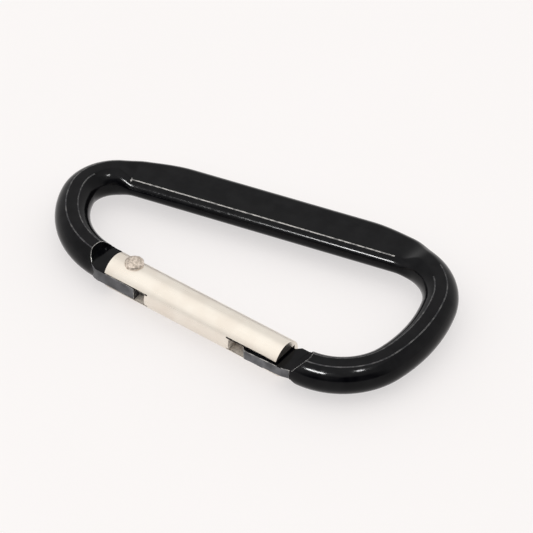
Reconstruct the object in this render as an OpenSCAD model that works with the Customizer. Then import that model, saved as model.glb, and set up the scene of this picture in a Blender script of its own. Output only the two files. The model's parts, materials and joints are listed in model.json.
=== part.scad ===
// Snap carabiner: a bent round-rod frame with a coined flat spine, closed by a sprung gate.
// Millimetres. The carabiner lies flat, its bends in the XY plane, and +Z is up.
// X runs along the closed gate from the hinge to the nose, and +Y points to the spine.
// The origin is the centre of the whole outline, at the level of the lowest point.

/* [Rod] */
// Diameter of the round rod
rod_d = 6.6; // [6.4:0.1:6.8]
// Height left between the narrow flats pressed on the rod's top and bottom
rod_flat_h = 6.2; // [6:0.1:6.4]

/* [Bends, from the nose round to the hinge] */
// Radius of the first bend, at the nose
nose_bend_r = 12.6; // [12:0.1:13]
// Angle of the first bend
nose_bend_a = 78.3; // [76:0.1:80]
// Radius of the slow curve across the wide end
wide_end_r = 31; // [28:0.5:34]
// Angle of the slow curve across the wide end
wide_end_a = 31.1; // [29:0.1:33]
// Radius of the bend from the wide end into the spine
spine_bend_r = 11.9; // [11:0.1:13]
// Angle of the bend from the wide end into the spine
spine_bend_a = 83.9; // [82:0.1:86]
// Length of the straight spine
spine_l = 51.8; // [50:0.1:53]
// Radius of the easy bend out of the spine
hinge_bend_r = 11.1; // [10:0.1:12]
// Angle of the easy bend out of the spine
hinge_bend_a = 28.8; // [27:0.1:30]
// Radius of the tight bend at the narrow end
tight_bend_r = 7.5; // [7:0.1:8]
// Angle of the tight bend at the narrow end
tight_bend_a = 67.7; // [66:0.1:69]

/* [Coined spine] */
// Thickness of the coined spine
coin_t = 3.7; // [3.4:0.1:4]
// Distance from the rod's axis to the crease on the spine's inner side
coin_in = 2.35; // [2.2:0.05:2.5]
// Distance from the rod's axis to the spine's outer edge
coin_out = 6; // [5.5:0.1:6.2]
// Length of the straight slope where the coined flat meets the round rod, towards the hinge
coin_step = 3; // [2.5:0.1:4]
// Length of the eased slope at the coined flat's other end, towards the nose
coin_ease = 4.5; // [4:0.1:5]
// Distance over which the outer edge swells from the rod to its full width
coin_swell = 15.5; // [12:0.5:18]

/* [Tongues] */
// How far the rivet and the rod's hinge end lie from the gate's axis, towards the spine
hinge_y = 0.4; // [0.2:0.1:0.5]
// Thickness of the tongue that the gate turns on
hinge_tongue_t = 2.6; // [2.4:0.1:2.7]
// Thickness of the nose tongue
nose_tongue_t = 2; // [1.8:0.1:2.4]
// How far the nose tongue reaches past the nose end of the gate
nose_reach = 7.2; // [5:0.1:8]
// How far the nose tongue's tip stands from the gate's axis on the outer side
nose_proud = 3.8; // [3.6:0.1:4]
// Radius of the round pocket in front of the gate's hinge end
hinge_pocket_r = 3.5; // [3.4:0.1:3.8]
// Distance from the rivet back to the centre of the hinge pocket
hinge_pocket_x = 5.6; // [5.4:0.1:6]
// Radius of the round pocket in front of the gate's nose end
nose_pocket_r = 3.6; // [3.5:0.1:3.8]

/* [Gate] */
// Diameter of the gate
gate_d = 6.9; // [6.7:0.1:7]
// Distance from the rivet to the gate's hinge end
gate_tail = 4.2; // [4:0.1:4.4]
// Distance from the rivet to the gate's nose end
gate_l = 34.6; // [34:0.1:35]
// Width of the slots in the gate
slot_w = 2.9; // [2.8:0.1:3]
// Distance from the rivet to the blind end of the hinge slot
hinge_slot_x = 5.1; // [5:0.1:5.5]
// Length of the nose slot
nose_slot_l = 10.4; // [10:0.1:11]
// Diameter of the spring bore
bore_d = 3.8; // [3.6:0.1:4]
// Distance from the rivet to the end of the spring bore
bore_end_x = 21; // [20:0.5:22]

/* [Rivet] */
// Diameter of the rivet's shank
rivet_d = 2.4; // [2.2:0.1:2.6]
// Diameter of the rivet's peened heads
rivet_head_d = 3.6; // [3.4:0.1:3.8]
// Height of a head above the gate's crown
rivet_head_h = 1.1; // [0.8:0.1:1.2]
// Gap between the shank and its hole in the hinge tongue, on the radius
rivet_gap = 0.06; // [0.02:0.01:0.1]

/* [Spring and plunger] */
// Diameter of the plunger
plunger_d = 3.7; // [3.6:0.05:3.75]
// Length of the plunger's head
plunger_l = 5; // [4:0.5:6]
// Diameter of the plunger's stem inside the spring
stem_d = 1.9; // [1.6:0.1:2]
// Length of the plunger's stem
stem_l = 3; // [2:0.5:4]
// Diameter of the spring wire
wire_d = 0.45; // [0.4:0.05:0.5]
// Outside diameter of the spring
spring_d = 3.4; // [3.2:0.1:3.5]
// Number of working turns of the spring
spring_turns = 9; // [7:1:10]
// Radius of the hinge tongue's round end, which the plunger bears on
cam_r = 3.9; // [3.8:0.05:3.95]
// Distance from the rivet to the centre of that round end, towards the spine
cam_offset = 1; // [0.8:0.1:1.2]

/* [Hidden] */

$fn = 64;
rod_r = rod_d / 2;
gate_r = gate_d / 2;

// The frame's axis is a chain of left-hand arcs and one straight, laid out from the nose.
// Each entry of a chain is [start x, start y, heading], the heading in degrees from +X.
function arc_end(p, r, a) = [
    p[0] + r * (sin(p[2] + a) - sin(p[2])),
    p[1] + r * (cos(p[2]) - cos(p[2] + a)),
    p[2] + a
];
function line_end(p, l) = [p[0] + l * cos(p[2]), p[1] + l * sin(p[2]), p[2]];
// A point beside the axis: along is measured on the heading, out to the right of it
function beside(p, along, out) = [
    p[0] + along * cos(p[2]) + out * sin(p[2]),
    p[1] + along * sin(p[2]) - out * cos(p[2])
];

nose_tip_x = gate_l - nose_reach;
// The gate keeps a web on its inner side behind the nose slot, and the nose tongue stops short of it
web_y = 2.3;
nose_gap = 0.1;
// Distances from the gate's nose end to the middle of the nose pocket and to the first bend
nose_pocket_gap = 1.4;
nose_bend_gap = 2.8;
nose_pocket_x = gate_l + nose_pocket_gap;
nose_at = [gate_l + nose_bend_gap, 0, 0];
wide_end_at = arc_end(nose_at, nose_bend_r, nose_bend_a);
spine_bend_at = arc_end(wide_end_at, wide_end_r, wide_end_a);
spine_at = arc_end(spine_bend_at, spine_bend_r, spine_bend_a);
hinge_bend_at = line_end(spine_at, spine_l);
tight_bend_at = arc_end(hinge_bend_at, hinge_bend_r, hinge_bend_a);
last_bend_at = arc_end(tight_bend_at, tight_bend_r, tight_bend_a);
// The last bend closes the loop: it ends level with the rivet, its heading back at +X
last_bend_a = 360 - last_bend_at[2];
last_bend_r = (last_bend_at[1] - hinge_y) / (1 - cos(last_bend_a));
hinge_at = arc_end(last_bend_at, last_bend_r, last_bend_a);

// The coined stretch runs a little way into the bends at both ends of the spine.
// Distances along it are measured from the spine's nose end.
coin_lead = 7;
coin_tail = hinge_bend_r * hinge_bend_a * PI / 180;
lead_a = coin_lead / spine_bend_r * 180 / PI;
flat_over_nose = 1.5;
flat_over_hinge = 1.4;
flat_from = -flat_over_nose;
flat_to = spine_l + flat_over_hinge;
// The outer edge starts to swell a little way outside the flat, by these at each end
swell_over_nose = 6.5;
swell_over_hinge = 6;
swell_from = flat_from - swell_over_nose;
swell_to = flat_to + swell_over_hinge;
full_from = swell_from + coin_swell;
full_to = swell_to - coin_swell;

// The axis of the coined stretch at distance s
function spine_point(s) =
    s < 0 ? arc_end(spine_at, spine_bend_r, s / spine_bend_r * 180 / PI)
    : s > spine_l ? arc_end(hinge_bend_at, hinge_bend_r, (s - spine_l) / hinge_bend_r * 180 / PI)
    : line_end(spine_at, s);
function clamp01(t) = min(1, max(0, t));
function smooth(t) = t * t * (3 - 2 * t);
// A ramp that is 1 from a to b and falls to 0 over the length w outside them
function ramp(s, a, b, w) = min(clamp01((s - a) / w + 1), clamp01((b - s) / w + 1));
// How far the rod is pressed flat at distance s: 0 is round and 1 is the full coin
function pressed(s) = min(
    smooth(clamp01((s - flat_from) / coin_ease + 1)),
    clamp01((flat_to - s) / coin_step + 1)
);
// How far the outer edge has swelled at distance s: it leaves the rod briskly and ends softly
swell_brisk = 0.4;
function swelled(s) =
    let (t = ramp(s, full_from, full_to, coin_swell))
        (1 - swell_brisk) * smooth(t) + swell_brisk * sin(90 * t);

// One side of a section, as points [out, up] on an arc of radius r about [c, 0]
side_steps = 10;
function side(c, r, half_a, dir) = [
    for (i = [0:side_steps])
        let (a = half_a * (2 * i / side_steps - 1))
            [c + dir * r * cos(a), dir * r * sin(a)]
];
// The coined sides are arcs a little larger than half the thickness, which leaves a crease
coin_crease = 0.03;
coin_r = coin_t / 2 + coin_crease;
coin_half_a = asin(coin_t / 2 / coin_r);
coin_in_c = coin_in - coin_r * cos(coin_half_a);
function coin_out_c(s) = rod_r + (coin_out - rod_r) * swelled(s) - coin_r;
rod_half_a = asin(rod_flat_h / rod_d);
rod_ring = concat(side(0, rod_r, rod_half_a, 1), side(0, rod_r, rod_half_a, -1));
function coin_ring(s) = concat(
    side(coin_out_c(s), coin_r, coin_half_a, 1),
    side(-coin_in_c, coin_r, coin_half_a, -1)
);
function ring(s) = let (k = pressed(s)) (1 - k) * rod_ring + k * coin_ring(s);

// The rod is swept through stations, each [x, y, heading, distance along the coined stretch].
// Away from that stretch the distance is far off, which makes the section plain.
off = -100;
function arc_stations(p, r, a, n) = [for (i = [0:n - 1]) concat(arc_end(p, r, a * i / n), off)];
// Distances from a up to b, without b, in n equal steps
function steps(a, b, n) = [for (i = [0:n - 1]) a + (b - a) * i / n];
coin_distances = concat(
    steps(-coin_lead, flat_from - coin_ease, 2),
    steps(flat_from - coin_ease, flat_from, 7),
    steps(flat_from, full_from, 7),
    steps(full_from, full_to, 4),
    steps(full_to, flat_to, 7),
    steps(flat_to, flat_to + coin_step, 4),
    steps(flat_to + coin_step, spine_l + coin_tail, 2)
);
stations = concat(
    arc_stations(nose_at, nose_bend_r, nose_bend_a, 12),
    arc_stations(wide_end_at, wide_end_r, wide_end_a, 6),
    arc_stations(spine_bend_at, spine_bend_r, spine_bend_a - lead_a, 8),
    [for (s = coin_distances) concat(spine_point(s), s)],
    arc_stations(tight_bend_at, tight_bend_r, tight_bend_a, 10),
    arc_stations(last_bend_at, last_bend_r, last_bend_a, 11),
    [concat(hinge_at, off)]
);
rod_points = [
    for (p = stations)
        for (q = ring(p[3]))
            let (b = beside(p, 0, q[0]))
                [b[0], b[1], q[1]]
];

// The faces of a swept tube: n points to a ring, and a cap at each end
function tube_faces(rings, n) = concat(
    [[for (j = [n - 1:-1:0]) j]],
    [for (i = [0:rings - 2])
        for (j = [0:n - 1])
            let (k = (j + 1) % n, a = i * n, b = a + n)
                each [[a + j, a + k, b + k], [a + j, b + k, b + j]]],
    [[for (j = [0:n - 1]) (rings - 1) * n + j]]
);

// The outline's extremes fix the origin
outline_x0 = min([for (p = rod_points) p[0]]);
outline_x1 = max([for (p = rod_points) p[0]]);
outline_y0 = -nose_proud;
outline_y1 = max([for (p = rod_points) p[1]]);
mid_z = gate_r + rivet_head_h;
mid = [-(outline_x0 + outline_x1) / 2, -(outline_y0 + outline_y1) / 2, mid_z];

module place() {
    translate(mid)
        children();
}

// The two cutters that leave a flat tongue of thickness t, one above it and one below,
// with a round end of radius r about [x, y] and an open end towards dir
module tongue_pockets(x, y, r, t, dir) {
    reach = 15;
    for (side = [-1, 1])
        translate([x, y, side * (t / 2 + rod_r)]) {
            cylinder(r = r, h = rod_d, center = true);
            translate([dir * reach, 0, 0])
                cube([2 * reach, 2 * r, rod_d], center = true);
        }
}

// The hinge tongue ends in an arc about a point beside the rivet, and its outer corner is cut off.
// Its outer face runs out of the rod on a short slope, and its back stays inside the gate.
module hinge_tongue() {
    root_l = 1.5;
    root_x = hinge_at[0] - root_l;
    slope_l = 2;
    slope_h = 0.8;
    face_inset = 0.25;
    face_y = face_inset - gate_r;
    back_inset = 0.2;
    back_y = hinge_y + rod_r - back_inset;
    inside_x = -4;
    inside_y = 3;
    inside_slope_l = 1.5;
    corner_x = 2.6;
    linear_extrude(hinge_tongue_t, center = true)
        intersection() {
            polygon([
                [root_x, face_y + slope_h],
                [root_x + slope_l, face_y],
                [cam_r + 1, face_y],
                [cam_r + 1, inside_y],
                [inside_x, inside_y],
                [inside_x - inside_slope_l, back_y],
                [root_x, back_y]
            ]);
            union() {
                translate([root_x - 1, -rod_d])
                    square([corner_x - root_x + 1, rod_d * 2]);
                translate([0, hinge_y + cam_offset])
                    circle(r = cam_r);
            }
        }
}

// The nose tongue is pressed wider than the rod, so it stands a little proud on the outer side.
// Its inner edge stops short of the gate's web while it is inside the slot.
module nose_tongue() {
    corner = 0.6;
    slot_back_y = web_y - nose_gap;
    root_inset = 0.25;
    root_back_y = rod_r - root_inset;
    root_l = 1;
    root_x = nose_at[0] + root_l;
    // The inner edge widens just past the gate's end, on a slope of 45 degrees
    widen_x = gate_l + 0.4;
    pocket_proud = 0.1;
    linear_extrude(nose_tongue_t, center = true)
        polygon([
            [nose_tip_x + corner, -nose_proud],
            [nose_tip_x, corner - nose_proud],
            [nose_tip_x, slot_back_y - corner],
            [nose_tip_x + corner, slot_back_y],
            [widen_x, slot_back_y],
            [widen_x + root_back_y - slot_back_y, root_back_y],
            [root_x, root_back_y],
            [root_x, corner - rod_r],
            [nose_pocket_x, -rod_r - pocket_proud]
        ]);
}

module frame() {
    color("#242424")
        place()
        difference() {
            union() {
                polyhedron(rod_points, tube_faces(len(stations), len(rod_ring)), convexity = 8);
                hinge_tongue();
                nose_tongue();
            }
            tongue_pockets(-hinge_pocket_x, hinge_y, hinge_pocket_r, hinge_tongue_t, 1);
            tongue_pockets(nose_pocket_x, 0, nose_pocket_r, nose_tongue_t, -1);
            translate([0, hinge_y, 0])
                cylinder(r = rivet_d / 2 + rivet_gap, h = rod_d, center = true);
        }
}

module gate() {
    color("#f1ebe0")
        place()
        difference() {
            translate([-gate_tail, 0, 0])
                rotate([0, 90, 0])
                cylinder(d = gate_d, h = gate_tail + gate_l);
            translate([-gate_tail - 1, 0, 0])
                rotate([0, 90, 0])
                cylinder(d = bore_d, h = bore_end_x + gate_tail + 1);
            translate([-gate_tail - 1, -gate_r - 1, -slot_w / 2])
                cube([gate_tail + 1 + hinge_slot_x, gate_d + 2, slot_w]);
            translate([gate_l - nose_slot_l, -gate_r - 1, -slot_w / 2])
                cube([nose_slot_l + 1, gate_r + 1 + web_y, slot_w]);
            translate([0, hinge_y, 0])
                cylinder(d = rivet_d, h = gate_d + 1, center = true);
        }
}

// A shank with a domed head peened down on to the gate's round crown at each end
module hinge_rivet() {
    head_r = rivet_head_d / 2;
    edge_h = 0.35;
    shank_proud = 0.2;
    dome_h = rivet_head_h - edge_h;
    dome_r = (head_r * head_r + dome_h * dome_h) / (2 * dome_h);
    color("#cdc0b0")
        place() {
            translate([0, hinge_y, 0])
                cylinder(d = rivet_d, h = gate_d + 2 * shank_proud, center = true);
            for (side = [0, 1])
                mirror([0, 0, side])
                    difference() {
                        translate([0, hinge_y, 0])
                            intersection() {
                                cylinder(r = head_r, h = mid_z);
                                translate([0, 0, mid_z - dome_r])
                                    sphere(r = dome_r);
                            }
                        rotate([0, 90, 0])
                            cylinder(r = gate_r, h = rod_d, center = true);
                    }
        }
}

plunger_gap = 0.02;
plunger_x = cam_r + plunger_gap;
module spring_plunger() {
    color("#8d9096")
        place()
        translate([plunger_x, 0, 0])
        rotate([0, 90, 0]) {
            cylinder(d = plunger_d, h = plunger_l);
            cylinder(d = stem_d, h = plunger_l + stem_l);
        }
}

// The spring is one round wire wound from the plunger's shoulder to the end of the bore
coil_gap = 0.05;
spring_x0 = plunger_x + plunger_l + wire_d / 2 + coil_gap;
spring_x1 = bore_end_x - wire_d / 2 - coil_gap;
wire_sides = 8;
turn_steps = 16;
spring_rings = spring_turns * turn_steps;
coil_r = (spring_d - wire_d) / 2;
spring_points = [
    for (i = [0:spring_rings])
        let (t = 360 * i / turn_steps, x = spring_x0 + (spring_x1 - spring_x0) * i / spring_rings)
        for (j = [0:wire_sides - 1])
            let (a = -360 * j / wire_sides, r = coil_r + wire_d / 2 * cos(a))
            [x + wire_d / 2 * sin(a), r * cos(t), r * sin(t)]
];
module gate_spring() {
    color("#b9bcc0")
        place()
        polyhedron(spring_points, tube_faces(spring_rings + 1, wire_sides), convexity = 10);
}

frame();
gate();
hinge_rivet();
spring_plunger();
gate_spring();
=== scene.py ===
"""The looks of a snap carabiner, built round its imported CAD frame.

A bent and coined rod frame in black anodised aluminium is closed by a satin aluminium gate, which
turns on a peened rivet against a plunger and a coil spring. Sizes in the classes are millimetres
along the closed gate's own axes: X from the rivet to the nose, Y towards the spine, Z up.
"""

import json
import logging
import math
from collections.abc import Callable
from dataclasses import dataclass
from enum import Enum

import bmesh
import bpy
from mathutils import Matrix, Vector

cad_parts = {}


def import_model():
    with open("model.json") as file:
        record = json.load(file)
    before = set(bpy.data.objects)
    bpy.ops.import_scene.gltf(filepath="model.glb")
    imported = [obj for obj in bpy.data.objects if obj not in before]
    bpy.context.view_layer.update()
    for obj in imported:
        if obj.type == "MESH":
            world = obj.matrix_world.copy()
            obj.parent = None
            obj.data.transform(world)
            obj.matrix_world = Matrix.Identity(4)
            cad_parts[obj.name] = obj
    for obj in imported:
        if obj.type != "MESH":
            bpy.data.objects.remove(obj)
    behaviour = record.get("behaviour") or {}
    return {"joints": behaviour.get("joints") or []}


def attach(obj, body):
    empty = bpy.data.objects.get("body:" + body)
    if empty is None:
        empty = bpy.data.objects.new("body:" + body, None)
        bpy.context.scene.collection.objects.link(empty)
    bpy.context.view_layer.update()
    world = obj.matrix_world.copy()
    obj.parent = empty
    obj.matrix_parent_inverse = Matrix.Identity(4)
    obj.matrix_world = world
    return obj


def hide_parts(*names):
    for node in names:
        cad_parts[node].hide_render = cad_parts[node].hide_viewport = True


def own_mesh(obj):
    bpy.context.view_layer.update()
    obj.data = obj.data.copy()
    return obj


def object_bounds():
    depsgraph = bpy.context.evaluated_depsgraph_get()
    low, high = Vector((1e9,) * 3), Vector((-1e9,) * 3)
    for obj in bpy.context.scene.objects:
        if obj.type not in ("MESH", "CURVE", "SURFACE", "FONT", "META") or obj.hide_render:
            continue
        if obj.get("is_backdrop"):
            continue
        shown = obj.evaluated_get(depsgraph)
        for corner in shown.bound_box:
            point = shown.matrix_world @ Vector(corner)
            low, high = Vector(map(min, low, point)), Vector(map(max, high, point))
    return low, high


LOG = logging.getLogger("carabiner")
MM = 0.001
Tree = bpy.types.NodeTree
Socket = bpy.types.NodeSocket
Place = tuple[float, float, float]


class Part(Enum):
    """The elements of a mesh that a pick selects."""

    VERTS = "VERT"
    EDGES = "EDGE"
    FACES = "FACE"


class Cut(Enum):
    """The ways in which one solid works on another."""

    ADD = "UNION"
    TAKE = "DIFFERENCE"


# ---------------------------------------------------------------- materials


def linear(code: str) -> tuple[float, float, float, float]:
    """Turns an sRGB hex colour to linear light.

    Args:
        code: The colour as "#rrggbb".

    Returns:
        Linear red, green, blue and an alpha of 1.
    """
    parts = [int(code[i : i + 2], 16) / 255 for i in (1, 3, 5)]
    lit = [c / 12.92 if c <= 0.04045 else ((c + 0.055) / 1.055) ** 2.4 for c in parts]
    return (lit[0], lit[1], lit[2], 1.0)


def add_node(
    tree: Tree, kind: str, settings: dict | None = None, **inputs: object
) -> bpy.types.Node:
    """Adds a node with its settings and links.

    Args:
        tree: The material's node tree.
        kind: The node's type.
        settings: The node's own properties.
        **inputs: Values, sockets or nodes for its inputs, named in lower case, or _0, _1 by
            place. A node gives its first output in use.

    Returns:
        The new node.
    """
    node = tree.nodes.new(kind)
    for name, value in (settings or {}).items():
        setattr(node, name, value)
    by_name = {s.name.lower().replace(" ", "_"): s for s in reversed(node.inputs)}
    for name, value in inputs.items():
        socket = node.inputs[int(name[1:])] if name[0] == "_" else by_name[name]
        if isinstance(value, bpy.types.Node):
            value = next(output for output in value.outputs if output.enabled)
        if isinstance(value, Socket):
            tree.links.new(value, socket)
        else:
            socket.default_value = value
    return node


def start_material(name: str) -> tuple[bpy.types.Material, Tree, Socket]:
    """Makes an empty node material.

    Args:
        name: The material's name.

    Returns:
        The material, its node tree and the piece's own coordinates in metres.
    """
    material = bpy.data.materials.new(name)
    material.use_nodes = True
    tree = material.node_tree
    tree.nodes.clear()
    return material, tree, add_node(tree, "ShaderNodeTexCoord").outputs["Object"]


def end_material(tree: Tree, **inputs: object) -> bpy.types.Node:
    """Ends a material in one Principled shader, given its inputs, and returns that shader."""
    shader = add_node(tree, "ShaderNodeBsdfPrincipled", None, **inputs)
    add_node(tree, "ShaderNodeOutputMaterial", None, surface=shader.outputs["BSDF"])
    return shader


@dataclass(frozen=True)
class BlackAnodise:
    """Bright-dipped aluminium under a black-dyed hard anodic layer."""

    name: str = "black_anodised_aluminium"
    deep: str = "#020203"
    worn: str = "#070708"
    roughness: tuple[float, float] = (0.09, 0.17)
    level: float = 0.12
    tumble: float = 0.7
    pebble: float = 2.6

    def make(self) -> bpy.types.Material:
        """Makes the material.

        Aluminium rod, bent, coined and tumbled in ceramic chips, then bright-dipped, anodised and
        dyed. It gives a deep black with clear, slightly wavy reflections from the tumbling.

        Returns:
            The material.
        """
        material, tree, place = start_material(self.name)
        cloud = add_node(
            tree, "ShaderNodeTexNoise", vector=place, scale=1 / (self.pebble * MM), detail=3.0
        )
        fine = add_node(tree, "ShaderNodeTexNoise", vector=place, scale=1 / (self.tumble * MM))
        colour = add_node(
            tree,
            "ShaderNodeMix",
            {"data_type": "RGBA"},
            _0=add_node(tree, "ShaderNodeMapRange", value=cloud, from_min=0.35, from_max=0.65),
            _6=linear(self.deep),
            _7=linear(self.worn),
        )
        wavy = add_node(tree, "ShaderNodeBump", height=cloud, distance=0.012 * MM, strength=1.0)
        end_material(
            tree,
            base_color=colour,
            roughness=add_node(
                tree,
                "ShaderNodeMapRange",
                value=fine,
                from_min=0.3,
                from_max=0.7,
                to_min=self.roughness[0],
                to_max=self.roughness[1],
            ),
            specular_ior_level=self.level,
            normal=add_node(
                tree, "ShaderNodeBump", height=fine, distance=0.003 * MM, strength=1.0, normal=wavy
            ),
        )
        return material


@dataclass(frozen=True)
class RubbedEdgeAndGlint:
    """The same black layer where edges have been rubbed thin, painted lighter along them as bare metal
    and as a highlight.
    """

    name: str = "black_anodised_rubbed_edge"
    black: str = "#141417"
    # The bare colour stands for rubbed metal and also paints the edge's highlight
    bare: str = "#bdbab6"
    patch: float = 0.9
    rub_and_glint_range: tuple[float, float] = (0.15, 0.8)
    level: float = 0.5

    def make(self) -> bpy.types.Material:
        """Makes the material.

        On a sharp edge the tumbled corner is polished and the black layer is thin, so short
        dashes of bare metal, a millimetre or so long, are painted along it; their lighter colour is
        also a painted highlight.

        Returns:
            The material.
        """
        material, tree, place = start_material(self.name)
        # The mask paints dashes of bare metal on the edge, partly rubbed wear and partly a painted
        # highlight
        rub_and_glint_mask = add_node(
            tree,
            "ShaderNodeMapRange",
            value=add_node(
                tree, "ShaderNodeTexNoise", vector=place, scale=1 / (self.patch * MM), detail=3.0
            ),
            from_min=0.42,
            from_max=0.64,
            to_min=self.rub_and_glint_range[0],
            to_max=self.rub_and_glint_range[1],
        )
        end_material(
            tree,
            base_color=add_node(
                tree,
                "ShaderNodeMix",
                {"data_type": "RGBA"},
                _0=rub_and_glint_mask,
                _6=linear(self.black),
                _7=linear(self.bare),
            ),
            metallic=rub_and_glint_mask,
            specular_ior_level=self.level,
            roughness=add_node(
                tree,
                "ShaderNodeMapRange",
                value=add_node(tree, "ShaderNodeTexNoise", vector=place, scale=1 / (0.4 * MM)),
                from_min=0.3,
                from_max=0.7,
                to_min=0.16,
                to_max=0.34,
            ),
        )
        return material


@dataclass(frozen=True)
class ShearedFace:
    """Black-dyed anodise on the sheared and pressed faces of the tongues."""

    name: str = "black_anodised_sheared_face"
    dark: str = "#2c2c2e"
    pale: str = "#464648"
    grain: float = 0.35

    def make(self) -> bpy.types.Material:
        """Makes the material.

        The tongues are pressed and sheared in a die, so their faces stay matt and take the dye
        thinly. It gives a dark satin grey with a fine drag grain, about a third of a millimetre.

        Returns:
            The material.
        """
        material, tree, place = start_material(self.name)
        dragged = add_node(tree, "ShaderNodeMapping", None, vector=place, scale=(0.4, 1.0, 1.0))
        drag = add_node(
            tree,
            "ShaderNodeTexNoise",
            vector=dragged.outputs["Vector"],
            scale=1 / (self.grain * MM),
            detail=3.0,
        )
        cloud = add_node(
            tree,
            "ShaderNodeMapRange",
            value=add_node(tree, "ShaderNodeTexNoise", vector=place, scale=1 / (2.2 * MM)),
            from_min=0.35,
            from_max=0.65,
        )
        end_material(
            tree,
            base_color=add_node(
                tree,
                "ShaderNodeMix",
                {"data_type": "RGBA"},
                _0=cloud,
                _6=linear(self.dark),
                _7=linear(self.pale),
            ),
            roughness=add_node(
                tree,
                "ShaderNodeMapRange",
                value=drag,
                from_min=0.3,
                from_max=0.7,
                to_min=0.34,
                to_max=0.5,
            ),
            specular_ior_level=0.3,
            normal=add_node(tree, "ShaderNodeBump", height=drag, distance=0.006 * MM, strength=1.0),
        )
        return material


@dataclass(frozen=True)
class SatinAluminium:
    """Drawn aluminium bar, tumbled and clear anodised."""

    name: str = "satin_anodised_aluminium"
    pale: str = "#f1eadf"
    warm: str = "#eae1d5"
    roughness: tuple[float, float] = (0.27, 0.35)
    line: float = 0.16
    run: float = 9.0

    def make(self) -> bpy.types.Material:
        """Makes the material.

        Bar drawn through a die, tumbled, then clear anodised. It gives a warm silver satin with
        soft long highlights and faint lines along the bar from the die.

        Returns:
            The material.
        """
        material, tree, place = start_material(self.name)
        # Die lines are about 0.16 mm across and many millimetres long
        scale = (self.line / self.run, 1.0, 1.0)
        lengthwise = add_node(tree, "ShaderNodeMapping", None, vector=place, scale=scale)
        lines = add_node(
            tree,
            "ShaderNodeTexNoise",
            vector=lengthwise.outputs["Vector"],
            scale=1 / (self.line * MM),
        )
        cloud = add_node(
            tree,
            "ShaderNodeMapRange",
            value=add_node(
                tree, "ShaderNodeTexNoise", vector=place, scale=1 / (5.0 * MM), detail=3.0
            ),
            from_min=0.35,
            from_max=0.65,
        )
        # The tumbled grain is finer than shows, so it is drawn at a tenth of a millimetre
        grain = add_node(
            tree, "ShaderNodeTexNoise", vector=place, scale=1 / (0.12 * MM), detail=1.0
        )
        end_material(
            tree,
            base_color=add_node(
                tree,
                "ShaderNodeMix",
                {"data_type": "RGBA"},
                _0=cloud,
                _6=linear(self.pale),
                _7=linear(self.warm),
            ),
            metallic=1.0,
            roughness=add_node(
                tree,
                "ShaderNodeMapRange",
                value=lines,
                from_min=0.3,
                from_max=0.7,
                to_min=self.roughness[0],
                to_max=self.roughness[1],
            ),
            normal=add_node(
                tree,
                "ShaderNodeBump",
                height=grain,
                distance=0.0012 * MM,
                strength=1.0,
                normal=add_node(
                    tree, "ShaderNodeBump", height=lines, distance=0.0018 * MM, strength=1.0
                ),
            ),
        )
        return material


@dataclass(frozen=True)
class MilledAluminium:
    """Bare slot walls left by a slitting saw."""

    name: str = "saw_cut_aluminium"
    pale: str = "#f7efe4"
    dark: str = "#d8cfc4"
    pitch: float = 0.3

    def make(self) -> bpy.types.Material:
        """Makes the material.

        Slots sawn after the bar was drawn, with a rough anodised finish. It gives a duller
        grey-beige with streaks across the wall, about a third of a millimetre apart.

        Returns:
            The material.
        """
        material, tree, place = start_material(self.name)
        across = add_node(tree, "ShaderNodeMapping", None, vector=place, scale=(1.0, 0.25, 0.25))
        streaks = add_node(
            tree,
            "ShaderNodeTexNoise",
            vector=across.outputs["Vector"],
            scale=1 / (self.pitch * MM),
            detail=3.0,
        )
        pits = add_node(tree, "ShaderNodeTexNoise", vector=place, scale=1 / (0.5 * MM))
        shade = add_node(tree, "ShaderNodeMapRange", value=pits, from_min=0.35, from_max=0.65)
        end_material(
            tree,
            base_color=add_node(
                tree,
                "ShaderNodeMix",
                {"data_type": "RGBA"},
                _0=shade,
                _6=linear(self.pale),
                _7=linear(self.dark),
            ),
            metallic=0.0,
            roughness=add_node(
                tree,
                "ShaderNodeMapRange",
                value=streaks,
                from_min=0.3,
                from_max=0.7,
                to_min=0.42,
                to_max=0.62,
            ),
            normal=add_node(
                tree,
                "ShaderNodeBump",
                height=streaks,
                distance=0.012 * MM,
                strength=1.0,
                normal=add_node(
                    tree, "ShaderNodeBump", height=pits, distance=0.01 * MM, strength=1.0
                ),
            ),
        )
        return material


@dataclass(frozen=True)
class PeenedMetal:
    """A soft aluminium rivet, hammered over at both ends."""

    name: str = "peened_aluminium_rivet"
    pale: str = "#e8dbce"
    dark: str = "#b4a89b"
    dent: float = 0.7

    def make(self) -> bpy.types.Material:
        """Makes the material.

        Aluminium wire peened cold with a hammer and left bare. It gives a dull beige-grey with
        small facets that each catch the light their own way and dirt in random patches.

        Returns:
            The material.
        """
        material, tree, place = start_material(self.name)
        dents = {"scale": 1 / (self.dent * MM), "smoothness": 0.35}
        facets = add_node(tree, "ShaderNodeTexVoronoi", {"feature": "SMOOTH_F1"}, vector=place, **dents)
        height = facets.outputs["Distance"]
        grime = add_node(
            tree,
            "ShaderNodeMapRange",
            value=add_node(
                tree, "ShaderNodeTexNoise", vector=place, scale=1 / (0.45 * MM), detail=3.0
            ),
            from_min=0.38,
            from_max=0.66,
        )
        end_material(
            tree,
            base_color=add_node(
                tree,
                "ShaderNodeMix",
                {"data_type": "RGBA"},
                _0=grime,
                _6=linear(self.pale),
                _7=linear(self.dark),
            ),
            metallic=0.9,
            roughness=add_node(
                tree,
                "ShaderNodeMapRange",
                value=grime,
                from_min=0,
                from_max=1,
                to_min=0.3,
                to_max=0.5,
            ),
            normal=add_node(
                tree,
                "ShaderNodeBump",
                height=add_node(tree, "ShaderNodeTexNoise", vector=place, scale=1 / (0.3 * MM)),
                distance=0.012 * MM,
                strength=1.0,
                normal=add_node(
                    tree, "ShaderNodeBump", height=height, distance=0.02 * MM, strength=1.0
                ),
            ),
        )
        return material


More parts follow.
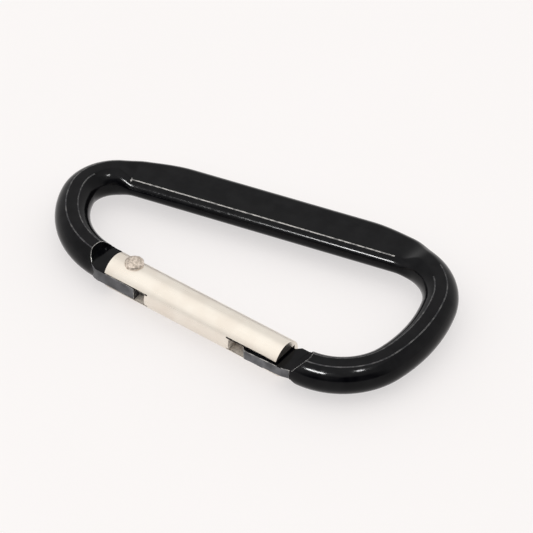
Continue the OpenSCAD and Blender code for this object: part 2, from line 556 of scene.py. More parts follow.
@dataclass(frozen=True)
class TurnedSteel:
    """Steel bar turned on a lathe, or drawn to wire."""

    name: str
    pale: str
    dark: str
    pitch: float

    def make(self) -> bpy.types.Material:
        """Makes the material.

        Turned or drawn steel with a thin film of oil. It gives a bright grey with fine rings or
        lines, drawn here at the pitch that the finish names.

        Returns:
            The material.
        """
        material, tree, place = start_material(self.name)
        squeezed = add_node(tree, "ShaderNodeMapping", None, vector=place, scale=(1.0, 0.05, 0.05))
        rings = add_node(
            tree,
            "ShaderNodeTexNoise",
            vector=squeezed.outputs["Vector"],
            scale=1 / (self.pitch * MM),
        )
        shade = add_node(tree, "ShaderNodeMapRange", value=rings, from_min=0.35, from_max=0.65)
        end_material(
            tree,
            base_color=add_node(
                tree,
                "ShaderNodeMix",
                {"data_type": "RGBA"},
                _0=shade,
                _6=linear(self.pale),
                _7=linear(self.dark),
            ),
            metallic=1.0,
            roughness=add_node(
                tree,
                "ShaderNodeMapRange",
                value=rings,
                from_min=0.3,
                from_max=0.7,
                to_min=0.22,
                to_max=0.36,
            ),
            normal=add_node(
                tree, "ShaderNodeBump", height=rings, distance=0.004 * MM, strength=1.0
            ),
        )
        return material


@dataclass(frozen=True)
class LightTable:
    """The white acrylic sheet of a light table that the carabiner lies on."""

    name: str = "opal_acrylic_light_table"
    pale: str = "#adabaa"
    shade: str = "#aaa8a6"
    glow: str = "#f6f3f3"
    strength: float = 0.62

    def make(self) -> bpy.types.Material:
        """Makes the material.

        Cast opal acrylic with a matt face, lit faintly from below. It gives an even white whose
        shadows stay pale and soft.

        Returns:
            The material.
        """
        material, tree, place = start_material(self.name)
        cloud = add_node(tree, "ShaderNodeTexNoise", vector=place, scale=1 / (60.0 * MM))
        end_material(
            tree,
            base_color=add_node(
                tree,
                "ShaderNodeMix",
                {"data_type": "RGBA"},
                _0=cloud,
                _6=linear(self.pale),
                _7=linear(self.shade),
            ),
            roughness=0.9,
            specular_ior_level=0.2,
            emission_color=linear(self.glow),
            emission_strength=self.strength,
        )
        return material


# ---------------------------------------------------------------- modelling


def settle(name: str) -> bpy.types.Object:
    """Names the primitive just added, puts its place in its mesh and returns it."""
    piece = bpy.context.object
    piece.name = piece.data.name = name
    bpy.ops.object.transform_apply(location=True, rotation=True, scale=True)
    return piece


def shape(piece: bpy.types.Object) -> None:
    """Opens a piece in edit mode, alone."""
    bpy.ops.object.select_all(action="DESELECT")
    bpy.context.view_layer.objects.active = piece
    piece.select_set(True)
    bpy.ops.object.mode_set(mode="EDIT")


def leave() -> None:
    """Goes back to object mode."""
    bpy.ops.object.mode_set(mode="OBJECT")


def pick(piece: bpy.types.Object, part: Part, test: Callable[[Vector, Vector], bool]) -> None:
    """Selects only the elements that pass a test of their place and normal.

    Args:
        piece: The piece that is open in edit mode.
        part: The kind of element to select.
        test: Takes an element's middle and its normal, or an edge's direction, and says if it
            is wanted.
    """
    bpy.ops.mesh.select_mode(type=part.value)
    bpy.ops.mesh.select_all(action="DESELECT")
    mesh = bmesh.from_edit_mesh(piece.data)
    if part is Part.VERTS:
        wanted = [v for v in mesh.verts if test(v.co, v.normal)]
    elif part is Part.EDGES:
        spans = [(e, e.verts[0].co, e.verts[1].co) for e in mesh.edges]
        wanted = [e for e, start, end in spans if test((start + end) / 2, (end - start).normalized())]
    else:
        wanted = [f for f in mesh.faces if test(f.calc_center_median(), f.normal)]
    for element in wanted:
        element.select_set(True)
    mesh.select_flush_mode()
    bmesh.update_edit_mesh(piece.data)


def apply_modifier(piece: bpy.types.Object, kind: str, **settings: object) -> None:
    """Adds a modifier to a piece and applies it.

    Args:
        piece: The piece.
        kind: The modifier's type.
        **settings: The modifier's properties.
    """
    bpy.ops.object.select_all(action="DESELECT")
    bpy.context.view_layer.objects.active = piece
    piece.select_set(True)
    modifier = piece.modifiers.new(kind.lower(), kind)
    for name, value in settings.items():
        setattr(modifier, name, value)
    bpy.ops.object.modifier_apply(modifier=modifier.name)


def work(piece: bpy.types.Object, tool: bpy.types.Object, cut: Cut) -> None:
    """Joins a solid to a piece or cuts it out, and removes that solid.

    Args:
        piece: The piece that is kept.
        tool: The solid that works on it.
        cut: Whether it is added or taken away.
    """
    apply_modifier(piece, "BOOLEAN", object=tool, operation=cut.value, solver="EXACT")
    bpy.data.objects.remove(tool)


def wear(piece: bpy.types.Object, *materials: bpy.types.Material) -> None:
    """Gives a piece its materials, in the order of its face indices."""
    piece.data.materials.clear()
    for material in materials:
        piece.data.materials.append(material)


def round_edges(
    piece: bpy.types.Object, width: float, over: float, index: int = -1, clamp: bool = True
) -> None:
    """Rounds a piece's sharp edges as tumbling does.

    Args:
        piece: The piece.
        width: The rounding's width in millimetres.
        over: Edges sharper than this many degrees are rounded.
        index: The material index of the rounded faces, or -1 for their neighbour's.
        clamp: Whether the width shrinks where faces are small.
    """
    apply_modifier(
        piece,
        "BEVEL",
        width=width * MM,
        segments=2,
        limit_method="ANGLE",
        angle_limit=math.radians(over),
        material=index,
        use_clamp_overlap=clamp,
        harden_normals=False,
    )


def smooth(piece: bpy.types.Object, angle: float) -> None:
    """Shades a piece smooth except at edges over an angle in degrees."""
    bpy.ops.object.select_all(action="DESELECT")
    bpy.context.view_layer.objects.active = piece
    piece.select_set(True)
    bpy.ops.object.shade_smooth_by_angle(angle=math.radians(angle))
    apply_modifier(piece, "WEIGHTED_NORMAL", mode="FACE_AREA", weight=60, keep_sharp=True)


@dataclass(frozen=True)
class Bench:
    """Where the gate's axes lie in the row frame."""

    rivet: Vector
    hinge_y: float = 0.4

    def at(self, x: float, y: float, z: float = 0.0) -> Vector:
        """Turns a place in millimetres on the gate's axes to metres in the row frame."""
        along, across = self.rivet.x + x * MM, self.rivet.y + (y - self.hinge_y) * MM
        return Vector((along, across, self.rivet.z + z * MM))

    def box(self, name: str, low: Place, high: Place) -> bpy.types.Object:
        """Adds a block between two corners.

        Args:
            name: The block's name.
            low: Its lowest corner, in millimetres.
            high: Its highest corner.

        Returns:
            The block.
        """
        middle = self.at(*[(a + b) / 2 for a, b in zip(low, high)])
        sides = [(b - a) * MM for a, b in zip(low, high)]
        bpy.ops.mesh.primitive_cube_add(size=1, location=middle, scale=sides)
        return settle(name)

    def bar(
        self, name: str, start: Place, radius: float, length: float, along: str, sides: int = 64
    ) -> bpy.types.Object:
        """Adds a round bar.

        Args:
            name: The bar's name.
            start: The middle of its first end, in millimetres.
            radius: Its radius.
            length: Its length.
            along: "X" or "Z", the way it runs from its first end.
            sides: How many sides it has.

        Returns:
            The bar.
        """
        x, y, z = start
        turned = along == "X"
        middle = self.at(x + length / 2, y, z) if turned else self.at(x, y, z + length / 2)
        bpy.ops.mesh.primitive_cylinder_add(
            vertices=sides,
            radius=radius * MM,
            depth=length * MM,
            end_fill_type="NGON",
            location=middle,
            rotation=(0, math.pi / 2 if turned else 0, 0),
        )
        return settle(name)


# ---------------------------------------------------------------- sub-assemblies


@dataclass
class RodFrame:
    """The bent rod with its coined spine, hinge tongue and nose tongue."""

    bench: Bench
    rod_d: float = 6.584
    flat_h: float = 6.2
    sides: int = 36
    nose_x: float = 37.4
    nose_bend: tuple[float, float] = (12.6, 78.3)
    wide_end: tuple[float, float] = (31.0, 31.1)
    spine_bend: tuple[float, float] = (11.9, 83.9)
    spine_l: float = 51.8
    hinge_bend: tuple[float, float] = (11.1, 28.8)
    tight_bend: tuple[float, float] = (7.5, 67.7)
    coin_t: float = 3.7
    coin_inner: float = 3.896
    coin_outer: float = 5.97
    coin_squeeze: float = 0.7125
    coin_from: float = -1.5
    coin_to: float = 53.2
    coin_step: float = 3.0
    coin_ease: float = 4.5
    swell_from: float = -8.0
    swell_to: float = 59.2
    swell_l: float = 15.5
    swell_brisk: float = 0.4
    hinge_tongue_t: float = 2.6
    nose_tongue_t: float = 2.0
    # Each pocket's middle, as x and y, and the radius of its round end
    hinge_pocket: Place = (-5.6, 0.4, 3.5)
    nose_pocket: Place = (36.0, 0.0, 3.6)
    crease_w: float = 0.13
    edge_w: float = 0.08

    def build(self) -> bpy.types.Object:
        """Bends, coins and cuts the rod.

        Returns:
            The frame.
        """
        rod = self.bend_rod()
        # The soft edge paints a dim highlight, with faint wear, on the creases round the bends
        faint = RubbedEdgeAndGlint("black_anodised_soft_edge", rub_and_glint_range=(0.01, 0.08), level=0.22)
        finishes = (BlackAnodise().make(), RubbedEdgeAndGlint().make(), ShearedFace().make(), faint.make())
        wear(rod, *finishes)
        # Rounded creases start with the rubbed finish: bare metal and a painted highlight
        round_edges(rod, self.crease_w, 14, index=1)
        self.share_rub_and_glint(rod)
        hinge, nose = self.hinge_tongue_t / 2, self.nose_tongue_t / 2
        for tool, cut in (
            (self.hinge_tongue(), Cut.ADD),
            (self.nose_tongue(), Cut.ADD),
            (self.pocket("hinge_pocket_top", self.hinge_pocket, hinge, 1), Cut.TAKE),
            (self.pocket("hinge_pocket_under", self.hinge_pocket, -hinge, 1), Cut.TAKE),
            (self.pocket("nose_pocket_top", self.nose_pocket, nose, -1), Cut.TAKE),
            (self.pocket("nose_pocket_under", self.nose_pocket, -nose, -1), Cut.TAKE),
            (self.bench.bar("rivet_hole", (0, 0.4, -3), 1.26, 6, "Z", 48), Cut.TAKE),
        ):
            wear(tool, *finishes)
            # A tongue is sheared round its outline, and pressed and polished on its faces
            for face in tool.data.polygons:
                face.material_index = 2 if cut is Cut.ADD and abs(face.normal.z) < 0.5 else 0
            work(rod, tool, cut)
        # The tongues' and pockets' rounded edges take the rubbed finish: bare metal and a painted
        # highlight
        round_edges(rod, self.edge_w, 38, index=1, clamp=False)
        self.blacken_foot(rod, self.hinge_pocket, hinge)
        self.blacken_foot(rod, self.nose_pocket, nose)
        smooth(rod, 24)
        return rod

    def bend_rod(self) -> bpy.types.Object:
        """Draws the rod's section round the whole loop.

        Returns:
            The closed rod, from its nose end to its hinge end.
        """
        bench, radius, flat = self.bench, self.rod_d / 2, self.flat_h / 2
        self.x, self.y, self.heading = self.nose_x, 0.0, 0.0
        bpy.ops.mesh.primitive_circle_add(
            vertices=self.sides,
            radius=radius * MM,
            location=bench.at(self.x, self.y),
            rotation=(0, math.pi / 2, 0),
        )
        rod = settle("frame_rod")
        shape(rod)
        # Narrow flats are pressed on the rod's top and bottom
        middle = bench.at(0, 0).z
        for side in (1, -1):
            level = middle + side * flat * MM
            pick(rod, Part.VERTS, lambda co, n: (co.z - level) * side > -0.02 * MM)
            bpy.ops.transform.resize(value=(1, 1, 0), center_override=(0, 0, level))
        bpy.ops.mesh.select_mode(type="EDGE")
        bpy.ops.mesh.select_all(action="SELECT")
        self.turn(*self.nose_bend, 20)
        self.turn(*self.wide_end, 10)
        lead = 7.0
        bend_r, bend_a = self.spine_bend
        self.turn(bend_r, bend_a - math.degrees(lead / bend_r), 16)
        stations = self.coin_stretch(-lead)
        self.turn(*self.tight_bend, 14)
        last_a = 360 - self.heading
        self.turn((self.y - bench.hinge_y) / (1 - math.cos(math.radians(last_a))), last_a, 18)
        self.stations = stations
        for s, x, y, heading in stations:
            self.press(rod, s, x, y, heading)
        bpy.ops.mesh.select_mode(type="VERT")
        bpy.ops.mesh.select_all(action="SELECT")
        bpy.ops.mesh.fill_holes(sides=0)
        bpy.ops.mesh.select_all(action="SELECT")
        bpy.ops.mesh.normals_make_consistent(inside=False)
        leave()
        return rod

    def on_spine(self, place: Vector) -> Vector:
        """Gives a place's distance along the spine, out from its axis and up, in millimetres."""
        x, y, heading = next(st[1:] for st in self.stations if abs(st[0]) < 1e-6)
        h = math.radians(heading)
        way = (place - self.bench.at(x, y)) / MM
        along = way.x * math.cos(h) + way.y * math.sin(h)
        return Vector((along, way.x * math.sin(h) - way.y * math.cos(h), way.z))

    def share_rub_and_glint(self, rod: bpy.types.Object) -> None:
        """Shares out the rounded creases: bare metal and a painted highlight along the spine's inner
        side, plain black elsewhere on the back, and a faint painted highlight round the bends.

        Args:
            rod: The rod, its rounded creases all given the rubbed finish and its painted highlight.
        """
        for face in rod.data.polygons:
            if face.material_index != 1:
                continue
            along, out, up = self.on_spine(face.center)
            if 0 < along < self.coin_to and -3.0 < out < -1.2 and abs(up) > 1.5:
                continue
            on_back = self.swell_from - 1 < along < self.swell_to and abs(out) < 8
            face.material_index = 0 if on_back else 3

    def blacken_foot(self, rod: bpy.types.Object, pocket: Place, half: float) -> None:
        """Keeps the foot of a pocket's wall black, with neither rubbed metal nor painted highlight, as
        nothing rubs in a hollow.

        Args:
            rod: The rod with its pockets cut.
            pocket: The pocket's middle and the radius of its round end.
            half: Half the thickness of the tongue.
        """
        x, y, radius = pocket
        middle = self.bench.at(x, y)
        for face in rod.data.polygons:
            way = (face.center - middle) / MM
            if abs(way.xy.length - radius) < 0.2 and abs(abs(way.z) - half) < 0.15:
                face.material_index = 0

    def turn(self, radius: float, angle: float, steps: int) -> None:
        """Spins the rod's open end round a left-hand bend.

        Args:
            radius: The bend's radius on the rod's axis.
            angle: The bend's angle in degrees.
            steps: How many steps it takes.
        """
        h = math.radians(self.heading)
        cx, cy = self.x - radius * math.sin(h), self.y + radius * math.cos(h)
        # Spin counts its angle clockwise
        bpy.ops.mesh.spin(
            steps=steps, angle=-math.radians(angle), center=self.bench.at(cx, cy), axis=(0, 0, 1)
        )
        self.heading += angle
        h = math.radians(self.heading)
        self.x, self.y = cx + radius * math.sin(h), cy - radius * math.cos(h)

    def draw(self, length: float) -> None:
        """Extrudes the rod's open end straight ahead by a length."""
        h = math.radians(self.heading)
        step = Vector((math.cos(h), math.sin(h), 0)) * length
        bpy.ops.mesh.extrude_edges_move(TRANSFORM_OT_translate={"value": step * MM})
        self.x, self.y = self.x + step.x, self.y + step.y

    def coin_stretch(self, start: float) -> list[tuple[float, float, float, float]]:
        """Draws the rod through the stretch that is coined, in short steps.

        Args:
            start: The distance along the spine at which the stretch starts.

        Returns:
            Each ring's distance along the spine, place and heading.
        """
        tail = self.hinge_bend[0] * math.radians(self.hinge_bend[1])
        marks = [
            (self.coin_from - self.coin_ease, 2),
            (self.coin_from, 9),
            (0.0, 2),
            (self.swell_from + self.swell_l, 8),
            (self.swell_to - self.swell_l, 8),
            (self.spine_l, 8),
            (self.coin_to, 2),
            (self.coin_to + self.coin_step, 4),
            (self.spine_l + tail, 2),
        ]
        stations, at = [], start
        for mark, steps in marks:
            for i in range(steps):
                s = at + (mark - at) * (i + 1) / steps
                length = (mark - at) / steps
                if s <= 1e-9:
                    self.turn(self.spine_bend[0], math.degrees(length / self.spine_bend[0]), 1)
                elif s <= self.spine_l + 1e-9:
                    self.draw(length)
                else:
                    self.turn(self.hinge_bend[0], math.degrees(length / self.hinge_bend[0]), 1)
                stations.append((s, self.x, self.y, self.heading))
            at = mark
        return stations

    @staticmethod
    def share(t: float) -> float:
        """Holds a value between 0 and 1."""
        return min(1.0, max(0.0, t))

    @staticmethod
    def soft(t: float) -> float:
        """Eases a share in and out."""
        return t * t * (3 - 2 * t)

    def press(self, rod: bpy.types.Object, s: float, x: float, y: float, heading: float) -> None:
        """Presses one ring of the rod towards the coined section.

        Args:
            rod: The rod, open in edit mode.
            s: The ring's distance along the spine.
            x: The ring's place.
            y: The ring's place.
            heading: The ring's heading in degrees.
        """
        eased = self.soft(self.share((s - self.coin_from) / self.coin_ease + 1))
        pressed = min(eased, self.share((self.coin_to - s) / self.coin_step + 1))
        if pressed == 0:
            return
        full_from, full_to = self.swell_from + self.swell_l, self.swell_to - self.swell_l
        t = self.share(min((s - full_from) / self.swell_l + 1, (full_to - s) / self.swell_l + 1))
        swell = (1 - self.swell_brisk) * self.soft(t) + self.swell_brisk * math.sin(t * math.pi / 2)
        radius = self.rod_d / 2
        h = math.radians(heading)
        ahead, out = Vector((math.cos(h), math.sin(h), 0)), Vector((math.sin(h), -math.cos(h), 0))
        middle = self.bench.at(x, y)
        squeeze = 1 - pressed * (1 - self.coin_squeeze)
        reach = self.coin_squeeze * radius
        outer = pressed * (radius + (self.coin_outer - radius) * swell - reach)
        inner = pressed * (self.coin_inner - reach)
        across = Matrix((ahead, out, Vector((0, 0, 1)))).transposed()
        near = 8 * MM

        def on_ring(co: Vector, side: int) -> bool:
            way = co - middle
            if abs(way.dot(ahead)) > 2e-6 or way.length > near:
                return False
            return side == 0 or way.dot(out) * side > 0.05 * MM

        pick(rod, Part.VERTS, lambda co, n: on_ring(co, 0))
        bpy.ops.transform.resize(
            value=(1, squeeze, 1 - pressed * (1 - self.coin_t / self.flat_h)),
            orient_type="LOCAL",
            orient_matrix=across,
            orient_matrix_type="LOCAL",
            center_override=middle,
        )
        for side, shift in ((1, outer), (-1, inner)):
            pick(rod, Part.VERTS, lambda co, n: on_ring(co, side))
            bpy.ops.transform.translate(value=out * (side * shift * MM))

    def hinge_tongue(self) -> bpy.types.Object:
        """Makes the flat tongue with a round end that the gate turns on.

        Returns:
            The tongue.
        """
        bench, half = self.bench, self.hinge_tongue_t / 2
        root_x, corner_x, face_y, back_y, inside_y = -8.134, 2.6, -3.2, 3.5, 3.0
        slope_l, slope_h, cam_y, cam_r = 2.0, 0.8, 1.4, 3.9
        tongue = bench.box("hinge_tongue", (root_x, face_y, -half), (corner_x, back_y, half))
        shape(tongue)
        # The outer face runs out of the rod on a short slope, and the back steps in under the gate
        step, slope_end = inside_y - back_y, root_x + slope_l
        for x, shift, side in ((-5.5, 0.0, 1), (-4.0, step, 1), (slope_end, 0.0, -1)):
            self.narrow(tongue, x, shift, side)
        root = bench.at(root_x, 0)
        pick(tongue, Part.VERTS, lambda co, n: co.x < root.x + 0.1 * MM and co.y < root.y)
        bpy.ops.transform.translate(value=(0, slope_h * MM, 0))
        leave()
        end = bench.bar("hinge_tongue_end", (0, cam_y, -half), cam_r, 2 * half, "Z", 96)
        shape(end)
        bpy.ops.mesh.select_all(action="SELECT")
        inside = bench.at(0, inside_y)
        bpy.ops.mesh.bisect(plane_co=inside, plane_no=(0, 1, 0), clear_outer=True, use_fill=True)
        leave()
        work(tongue, end, Cut.ADD)
        return tongue

    def nose_tongue(self) -> bpy.types.Object:
        """Makes the flat tongue that the gate's nose slot closes over.

        Returns:
            The tongue.
        """
        bench, half = self.bench, self.nose_tongue_t / 2
        tip_x, root_x, face_y, back_y, corner = 27.4, 38.4, -3.8, 2.2, 0.6
        tongue = bench.box("nose_tongue", (tip_x, face_y, -half), (root_x, back_y, half))
        shape(tongue)
        tip, root = bench.at(tip_x, 0), bench.at(root_x, 0)
        pick(tongue, Part.EDGES, lambda co, way: co.x < tip.x + 0.1 * MM and abs(way.z) > 0.9)
        bpy.ops.mesh.bevel(offset=corner * MM, segments=1, affect="EDGES")
        # The outer face draws in towards the rod, and the inner one widens past the gate's web
        self.narrow(tongue, self.nose_pocket[0], 0.4, -1)
        pick(tongue, Part.VERTS, lambda co, n: co.x > root.x - 0.1 * MM and co.y < root.y)
        bpy.ops.transform.translate(value=(0, 0.7 * MM, 0))
        self.narrow(tongue, 35.0, 0.0, 1)
        self.narrow(tongue, 35.85, 0.85, 1)
        leave()
        return tongue

    def narrow(self, tongue: bpy.types.Object, x: float, shift: float, side: int) -> None:
        """Cuts a tongue across at x, and shifts one edge from there on towards the nose.

        Args:
            tongue: The tongue, open in edit mode.
            x: Where it is cut.
            shift: How far the edge moves towards the spine.
            side: 1 for the edge towards the spine and -1 for the outer one.
        """
        cut = self.bench.at(x, 0)
        bpy.ops.mesh.select_mode(type="VERT")
        bpy.ops.mesh.select_all(action="SELECT")
        bpy.ops.mesh.bisect(plane_co=cut, plane_no=(1, 0, 0))
        if shift:
            past = cut.x - 0.01 * MM
            pick(tongue, Part.VERTS, lambda co, n: co.x > past and (co.y - cut.y) * side > 0)
            bpy.ops.transform.translate(value=(0, shift * MM, 0))

    def pocket(self, name: str, pocket: Place, z: float, way: int) -> bpy.types.Object:
        """Makes the cutter of one round-ended pocket over a tongue.

        Args:
            name: The cutter's name.
            pocket: The middle and the radius of its round end.
            z: The tongue's face, above or below the rod's middle.
            way: 1 if the pocket opens towards the nose and -1 towards the hinge.

        Returns:
            The cutter.
        """
        x, y, radius = pocket
        middle = self.bench.at(x, y, z)
        bpy.ops.mesh.primitive_circle_add(
            vertices=96, radius=radius * MM, fill_type="NGON", location=middle
        )
        cutter = settle(name)
        shape(cutter)
        pick(cutter, Part.VERTS, lambda co, n: (co.x - middle.x) * way > 0.01 * MM)
        bpy.ops.transform.translate(value=(way * 26 * MM, 0, 0))
        bpy.ops.mesh.select_mode(type="FACE")
        bpy.ops.mesh.select_all(action="SELECT")
        up = math.copysign(self.rod_d, z)
        bpy.ops.mesh.extrude_region_move(TRANSFORM_OT_translate={"value": (0, 0, up * MM)})
        bpy.ops.mesh.select_all(action="SELECT")
        bpy.ops.mesh.normals_make_consistent(inside=False)
        leave()
        return cutter

    def dress(self, rod: bpy.types.Object) -> None:
        """Puts the frame on its body."""
        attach(rod, "frame")
        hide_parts("frame")


@dataclass
class SprungGate:
    """The round gate bar with its two slots and spring bore."""

    bench: Bench
    radius: float = 3.45
    tail: float = 4.2
    length: float = 34.6
    slot_w: float = 2.9
    hinge_slot: float = 5.1
    nose_slot: float = 10.4
    web_y: float = 2.3
    bore_r: float = 1.9
    bore_end: float = 21.0

    def build(self) -> bpy.types.Object:
        """Turns, slots and bores the bar.

        Returns:
            The gate.
        """
        bench = self.bench
        bar = bench.bar("gate_bar", (-self.tail, 0, 0), self.radius, self.tail + self.length, "X", 72)
        shape(bar)
        # A cut across past each slot's end keeps the long sides' shading even
        for x in (self.hinge_slot + 0.6, self.length - self.nose_slot - 0.6):
            bpy.ops.mesh.select_all(action="SELECT")
            bpy.ops.mesh.bisect(plane_co=bench.at(x, 0), plane_no=(1, 0, 0))
        leave()
        wear(bar, SatinAluminium().make(), MilledAluminium().make())
        half, past = self.slot_w / 2, self.radius + 1
        hinge = bench.box("hinge_slot", (-self.tail - 1, -past, -half), (self.hinge_slot, past, half))
        nose_x = self.length - self.nose_slot
        nose = bench.box("nose_slot", (nose_x, -past, -half), (self.length + 1, self.web_y, half))
        bore_l = self.bore_end + self.tail + 1
        bore = bench.bar("spring_bore", (-self.tail - 1, 0, 0), self.bore_r, bore_l, "X", 48)
        for tool in (hinge, nose, bore):
            wear(tool, *bar.data.materials)
            for face in tool.data.polygons:
                face.material_index = 1
            work(bar, tool, Cut.TAKE)
        work(bar, bench.bar("gate_rivet_hole", (0, bench.hinge_y, -5), 1.2, 10, "Z", 48), Cut.TAKE)
        round_edges(bar, 0.1, 40, clamp=False)
        smooth(bar, 30)
        return bar

    def dress(self, bar: bpy.types.Object) -> None:
        """Hangs the gate on its body."""
        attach(bar, "gate")
        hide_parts("gate")


@dataclass
class PeenedRivet:
    """The hinge rivet: a shank with a head peened down at each end."""

    bench: Bench
    shank_r: float = 1.2
    head_r: float = 1.8
    top: float = 4.55
    edge: float = 3.8
    foot: float = 2.5
    dent: float = 0.13

    def build(self) -> bpy.types.Object:
        """Makes the shank and its two hammered heads.

        Returns:
            The rivet.
        """
        bench = self.bench
        shank = bench.bar("rivet", (0, bench.hinge_y, -3), self.shank_r, 6, "Z", 32)
        for side in (1, -1):
            work(shank, self.head(side), Cut.ADD)
        smooth(shank, 50)
        return shank

    def head(self, side: int) -> bpy.types.Object:
        """Raises one head from a short bar by insets that follow its dome, and hammers it.

        Args:
            side: 1 for the top head and -1 for the one underneath.

        Returns:
            The head.
        """
        bench, rise = self.bench, self.top - self.edge
        low, high = sorted((side * self.foot, side * self.edge))
        head = bench.bar("rivet_head", (0, bench.hinge_y, low), self.head_r, high - low, "Z", 48)
        shape(head)
        pick(head, Part.FACES, lambda co, n: n.z * side > 0.9)
        ball = (self.head_r**2 + rise**2) / (2 * rise)
        rings = [self.head_r * (1 - (i / 9) ** 1.3) for i in range(10)]
        heights = [math.sqrt(ball**2 - r**2) - (ball - rise) for r in rings]
        for i in range(8):
            inwards, upwards = rings[i] - rings[i + 1], heights[i + 1] - heights[i]
            bpy.ops.mesh.inset(thickness=inwards * MM, depth=upwards * MM)
        bpy.ops.mesh.poke()
        leave()
        dents = bpy.data.textures.new("hammer_dents", "CLOUDS")
        dents.noise_scale = 0.75 * MM
        dents.noise_depth = 1
        domed = head.vertex_groups.new(name="domed")
        rim = bench.at(0, 0, side * (self.edge - 0.3)).z
        domed.add([v.index for v in head.data.vertices if (v.co.z - rim) * side > 0], 1.0, "REPLACE")
        apply_modifier(
            head,
            "DISPLACE",
            texture=dents,
            strength=self.dent * MM,
            mid_level=1.0,
            vertex_group="domed",
            texture_coords="LOCAL",
        )
        return head

    def dress(self, rivet: bpy.types.Object) -> None:
        """Leaves the rivet in its bare hammered metal."""
        wear(rivet, PeenedMetal().make())
        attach(rivet, "gate")
        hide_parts("hinge_rivet")


@dataclass
class SpringPlunger:
    """The plunger that the spring pushes against the hinge tongue."""

    bench: Bench
    start: float = 3.92
    head_r: float = 1.85
    head_l: float = 5.0
    stem_r: float = 0.95
    stem_l: float = 3.0

    def build(self) -> bpy.types.Object:
        """Turns the plunger from one bar.

        Returns:
            The plunger.
        """
        plunger = self.bench.bar("plunger", (self.start, 0, 0), self.head_r, self.head_l, "X", 48)
        shape(plunger)
        pick(plunger, Part.FACES, lambda co, n: n.x > 0.9)
        bpy.ops.mesh.inset(thickness=(self.head_r - self.stem_r) * MM)
        bpy.ops.mesh.extrude_region_move(TRANSFORM_OT_translate={"value": (self.stem_l * MM, 0, 0)})
        leave()
        round_edges(plunger, 0.15, 40)
        smooth(plunger, 30)
        return plunger

    def dress(self, plunger: bpy.types.Object) -> None:
        """Gives the plunger its turned steel."""
        wear(plunger, TurnedSteel("turned_steel", "#b6b9bf", "#8a8d93", 0.12).make())
        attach(plunger, "plunger")
        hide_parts("spring_plunger")


@dataclass
class GateSpring:
    """The coil spring behind the plunger."""

    bench: Bench
    start: float = 9.195
    end: float = 20.725
    coil_r: float = 1.475
    wire_r: float = 0.225
    turns: int = 9
    travel: float = 0.574

    def build(self) -> bpy.types.Object:
        """Winds the wire.

        Returns:
            The spring.
        """
        bench = self.bench
        bpy.ops.mesh.primitive_circle_add(
            vertices=12, radius=self.wire_r * MM, location=bench.at(self.start, self.coil_r)
        )
        spring = settle("spring_wire")
        # The screw winds about the piece's own origin, so that sits on the coil's axis meanwhile
        bpy.context.scene.cursor.location = bench.at(self.start, 0)
        bpy.ops.object.origin_set(type="ORIGIN_CURSOR")
        pitch = (self.end - self.start) / self.turns
        apply_modifier(
            spring,
            "SCREW",
            axis="X",
            screw_offset=pitch * MM,
            iterations=self.turns,
            steps=28,
            render_steps=28,
            angle=2 * math.pi,
        )
        bpy.ops.object.transform_apply(location=True, rotation=True, scale=True)
        shape(spring)
        bpy.ops.mesh.select_all(action="SELECT")
        bpy.ops.mesh.remove_doubles(threshold=1e-7)
        bpy.ops.mesh.fill_holes(sides=0)
        bpy.ops.mesh.select_all(action="SELECT")
        bpy.ops.mesh.normals_make_consistent(inside=False)
        leave()
        smooth(spring, 50)
        return spring

    def dress(self, spring: bpy.types.Object) -> None:
        """Gives the spring its drawn wire."""
        wear(spring, TurnedSteel("drawn_spring_wire", "#c6c8cb", "#9a9da1", 0.2).make())
        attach(spring, "gate")
        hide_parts("gate_spring")
        # The bore's blind end is worked out, unused, and the spring gets a mesh of its own
        blind = self.bench.at(self.end + self.wire_r, 0)
        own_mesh(spring)


# ---------------------------------------------------------------- studio


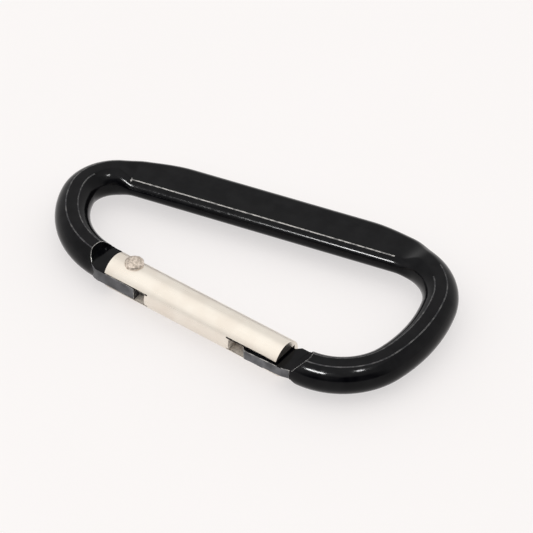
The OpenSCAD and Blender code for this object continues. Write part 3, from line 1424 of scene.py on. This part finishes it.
@dataclass
class Studio:
    """A light table in a soft white room with one dark side, its lamps and the camera."""

    bench: Bench
    black: bpy.types.Object
    air: str = "#f0efee"
    shade: str = "#0c0c0d"
    floor_size: float = 6.0
    softbox_at: Place = (0.0, -0.6, 1.2)
    softbox_power: float = 6.0
    key_at: Place = (0.03, -0.58, 0.575)
    key_power: float = 10.5
    spark_at: Place = (0.38, -0.13, 0.72)
    spark_power: float = 2.2

    def build(self) -> None:
        """Sets up the table, the room's light, the lamps and the camera."""
        bpy.ops.mesh.primitive_plane_add(size=self.floor_size, location=(0, 0, 0))
        floor = settle("floor")
        wear(floor, LightTable().make())
        floor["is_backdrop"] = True
        scene = bpy.context.scene
        scene.world = self.room()
        scene.view_settings.view_transform = "Standard"
        scene.view_settings.look = "None"
        self.lamp("softbox", self.softbox_at, (2.0, 3.0), self.softbox_power, "#fffdfa")
        # Two flagged lamps glint on the black frame alone, and light nothing else
        self.lamp("key_glint", self.key_at, (0.26, 0.09), self.key_power, "#ffffff", self.black)
        self.lamp("side_glint", self.spark_at, (0.07, 0.07), self.spark_power, "#ffffff", self.black)
        self.camera()

    def room(self) -> bpy.types.World:
        """Makes the room's light: white all round, with a dark low patch on the near side.

        Returns:
            The world.
        """
        world = bpy.data.worlds.new("soft_white_room")
        world.use_nodes = True
        tree = world.node_tree
        tree.nodes.clear()
        way = add_node(tree, "ShaderNodeTexCoord").outputs["Generated"]
        dot = {"operation": "DOT_PRODUCT"}
        side = add_node(tree, "ShaderNodeVectorMath", dot, _0=way, _1=(0.6, -0.8, 0.0))
        height = add_node(tree, "ShaderNodeSeparateXYZ", None, vector=way)
        near = add_node(
            tree, "ShaderNodeMapRange", value=side.outputs["Value"], from_min=0.5, from_max=0.75
        )
        low = add_node(
            tree,
            "ShaderNodeMapRange",
            value=height.outputs["Z"],
            from_min=0.5,
            from_max=0.62,
            to_min=1,
            to_max=0,
        )
        patch = add_node(tree, "ShaderNodeMath", {"operation": "MULTIPLY"}, _0=near, _1=low).outputs[0]
        colour = add_node(
            tree,
            "ShaderNodeMix",
            {"data_type": "RGBA"},
            _0=patch,
            _6=linear(self.air),
            _7=linear(self.shade),
        )
        light = add_node(tree, "ShaderNodeBackground", None, color=colour, strength=1.0)
        add_node(tree, "ShaderNodeOutputWorld", None, surface=light.outputs["Background"])
        return world

    def lamp(
        self,
        name: str,
        place: Place,
        size: tuple[float, float],
        power: float,
        colour: str,
        only: bpy.types.Object | None = None,
    ) -> None:
        """Adds an oblong lamp that faces the object.

        Args:
            name: The lamp's name.
            place: Where it hangs, in metres.
            size: Its width and height in metres.
            power: Its power in watts.
            colour: Its sRGB hex colour.
            only: The one piece that a flagged lamp reaches, or None for a lamp that lights everything.
        """
        light = bpy.data.lights.new(name, "AREA")
        light.shape = "RECTANGLE"
        light.size, light.size_y = size
        light.energy = power
        light.color = linear(colour)[:3]
        lamp = bpy.data.objects.new(name, light)
        lamp.location = place
        lamp.rotation_euler = Vector(place).to_track_quat("Z", "Y").to_euler()
        bpy.context.scene.collection.objects.link(lamp)
        if only:
            reached = bpy.data.collections.new(name + "_reach")
            reached.objects.link(only)
            lamp.light_linking.receiver_collection = reached

    def camera(self) -> None:
        """Sets the camera above the gate's nose side, looking down at 42 degrees."""
        right = Vector((0.79795913, 0.60270146, 0.00348767))
        up = Vector((-0.40531868, 0.5323294, 0.74319727))
        ahead = Vector((-0.44606949, 0.59445467, -0.66906327))
        lens = bpy.data.cameras.new("camera")
        lens.lens, lens.sensor_width = 219.174, 36
        lens.clip_start, lens.clip_end = 0.01, 20
        camera = bpy.data.objects.new("camera", lens)
        bpy.context.scene.collection.objects.link(camera)
        turned = Matrix((right, up, -ahead)).transposed().to_4x4()
        turned.translation = self.bench.at(280.3253, -333.4669, 394.7214)
        camera.matrix_world = turned
        bpy.context.scene.camera = camera


def main() -> None:
    """Builds every piece in order and reports it."""
    logging.basicConfig(level=logging.INFO, format="%(message)s")
    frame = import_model()
    cad_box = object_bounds()
    bpy.ops.object.select_all(action="DESELECT")
    hinge = next(j for j in frame["joints"] if j["name"] == "gate_hinge")
    bench = Bench(Vector(hinge["pos_m"]))
    pieces = []
    for kind in (RodFrame, SprungGate, PeenedRivet, SpringPlunger, GateSpring):
        maker = kind(bench)
        piece = maker.build()
        maker.dress(piece)
        pieces.append(piece)
        LOG.info("%s: %d faces", piece.name, len(piece.data.polygons))
    Studio(bench, pieces[0]).build()
    boxes = {"cad": cad_box, "visual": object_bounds()}
    for name, (low, high) in boxes.items():
        LOG.info("%s box in mm: %s", name, [round((b - a) / MM, 3) for a, b in zip(low, high)])


if __name__ == "__main__":
    main()
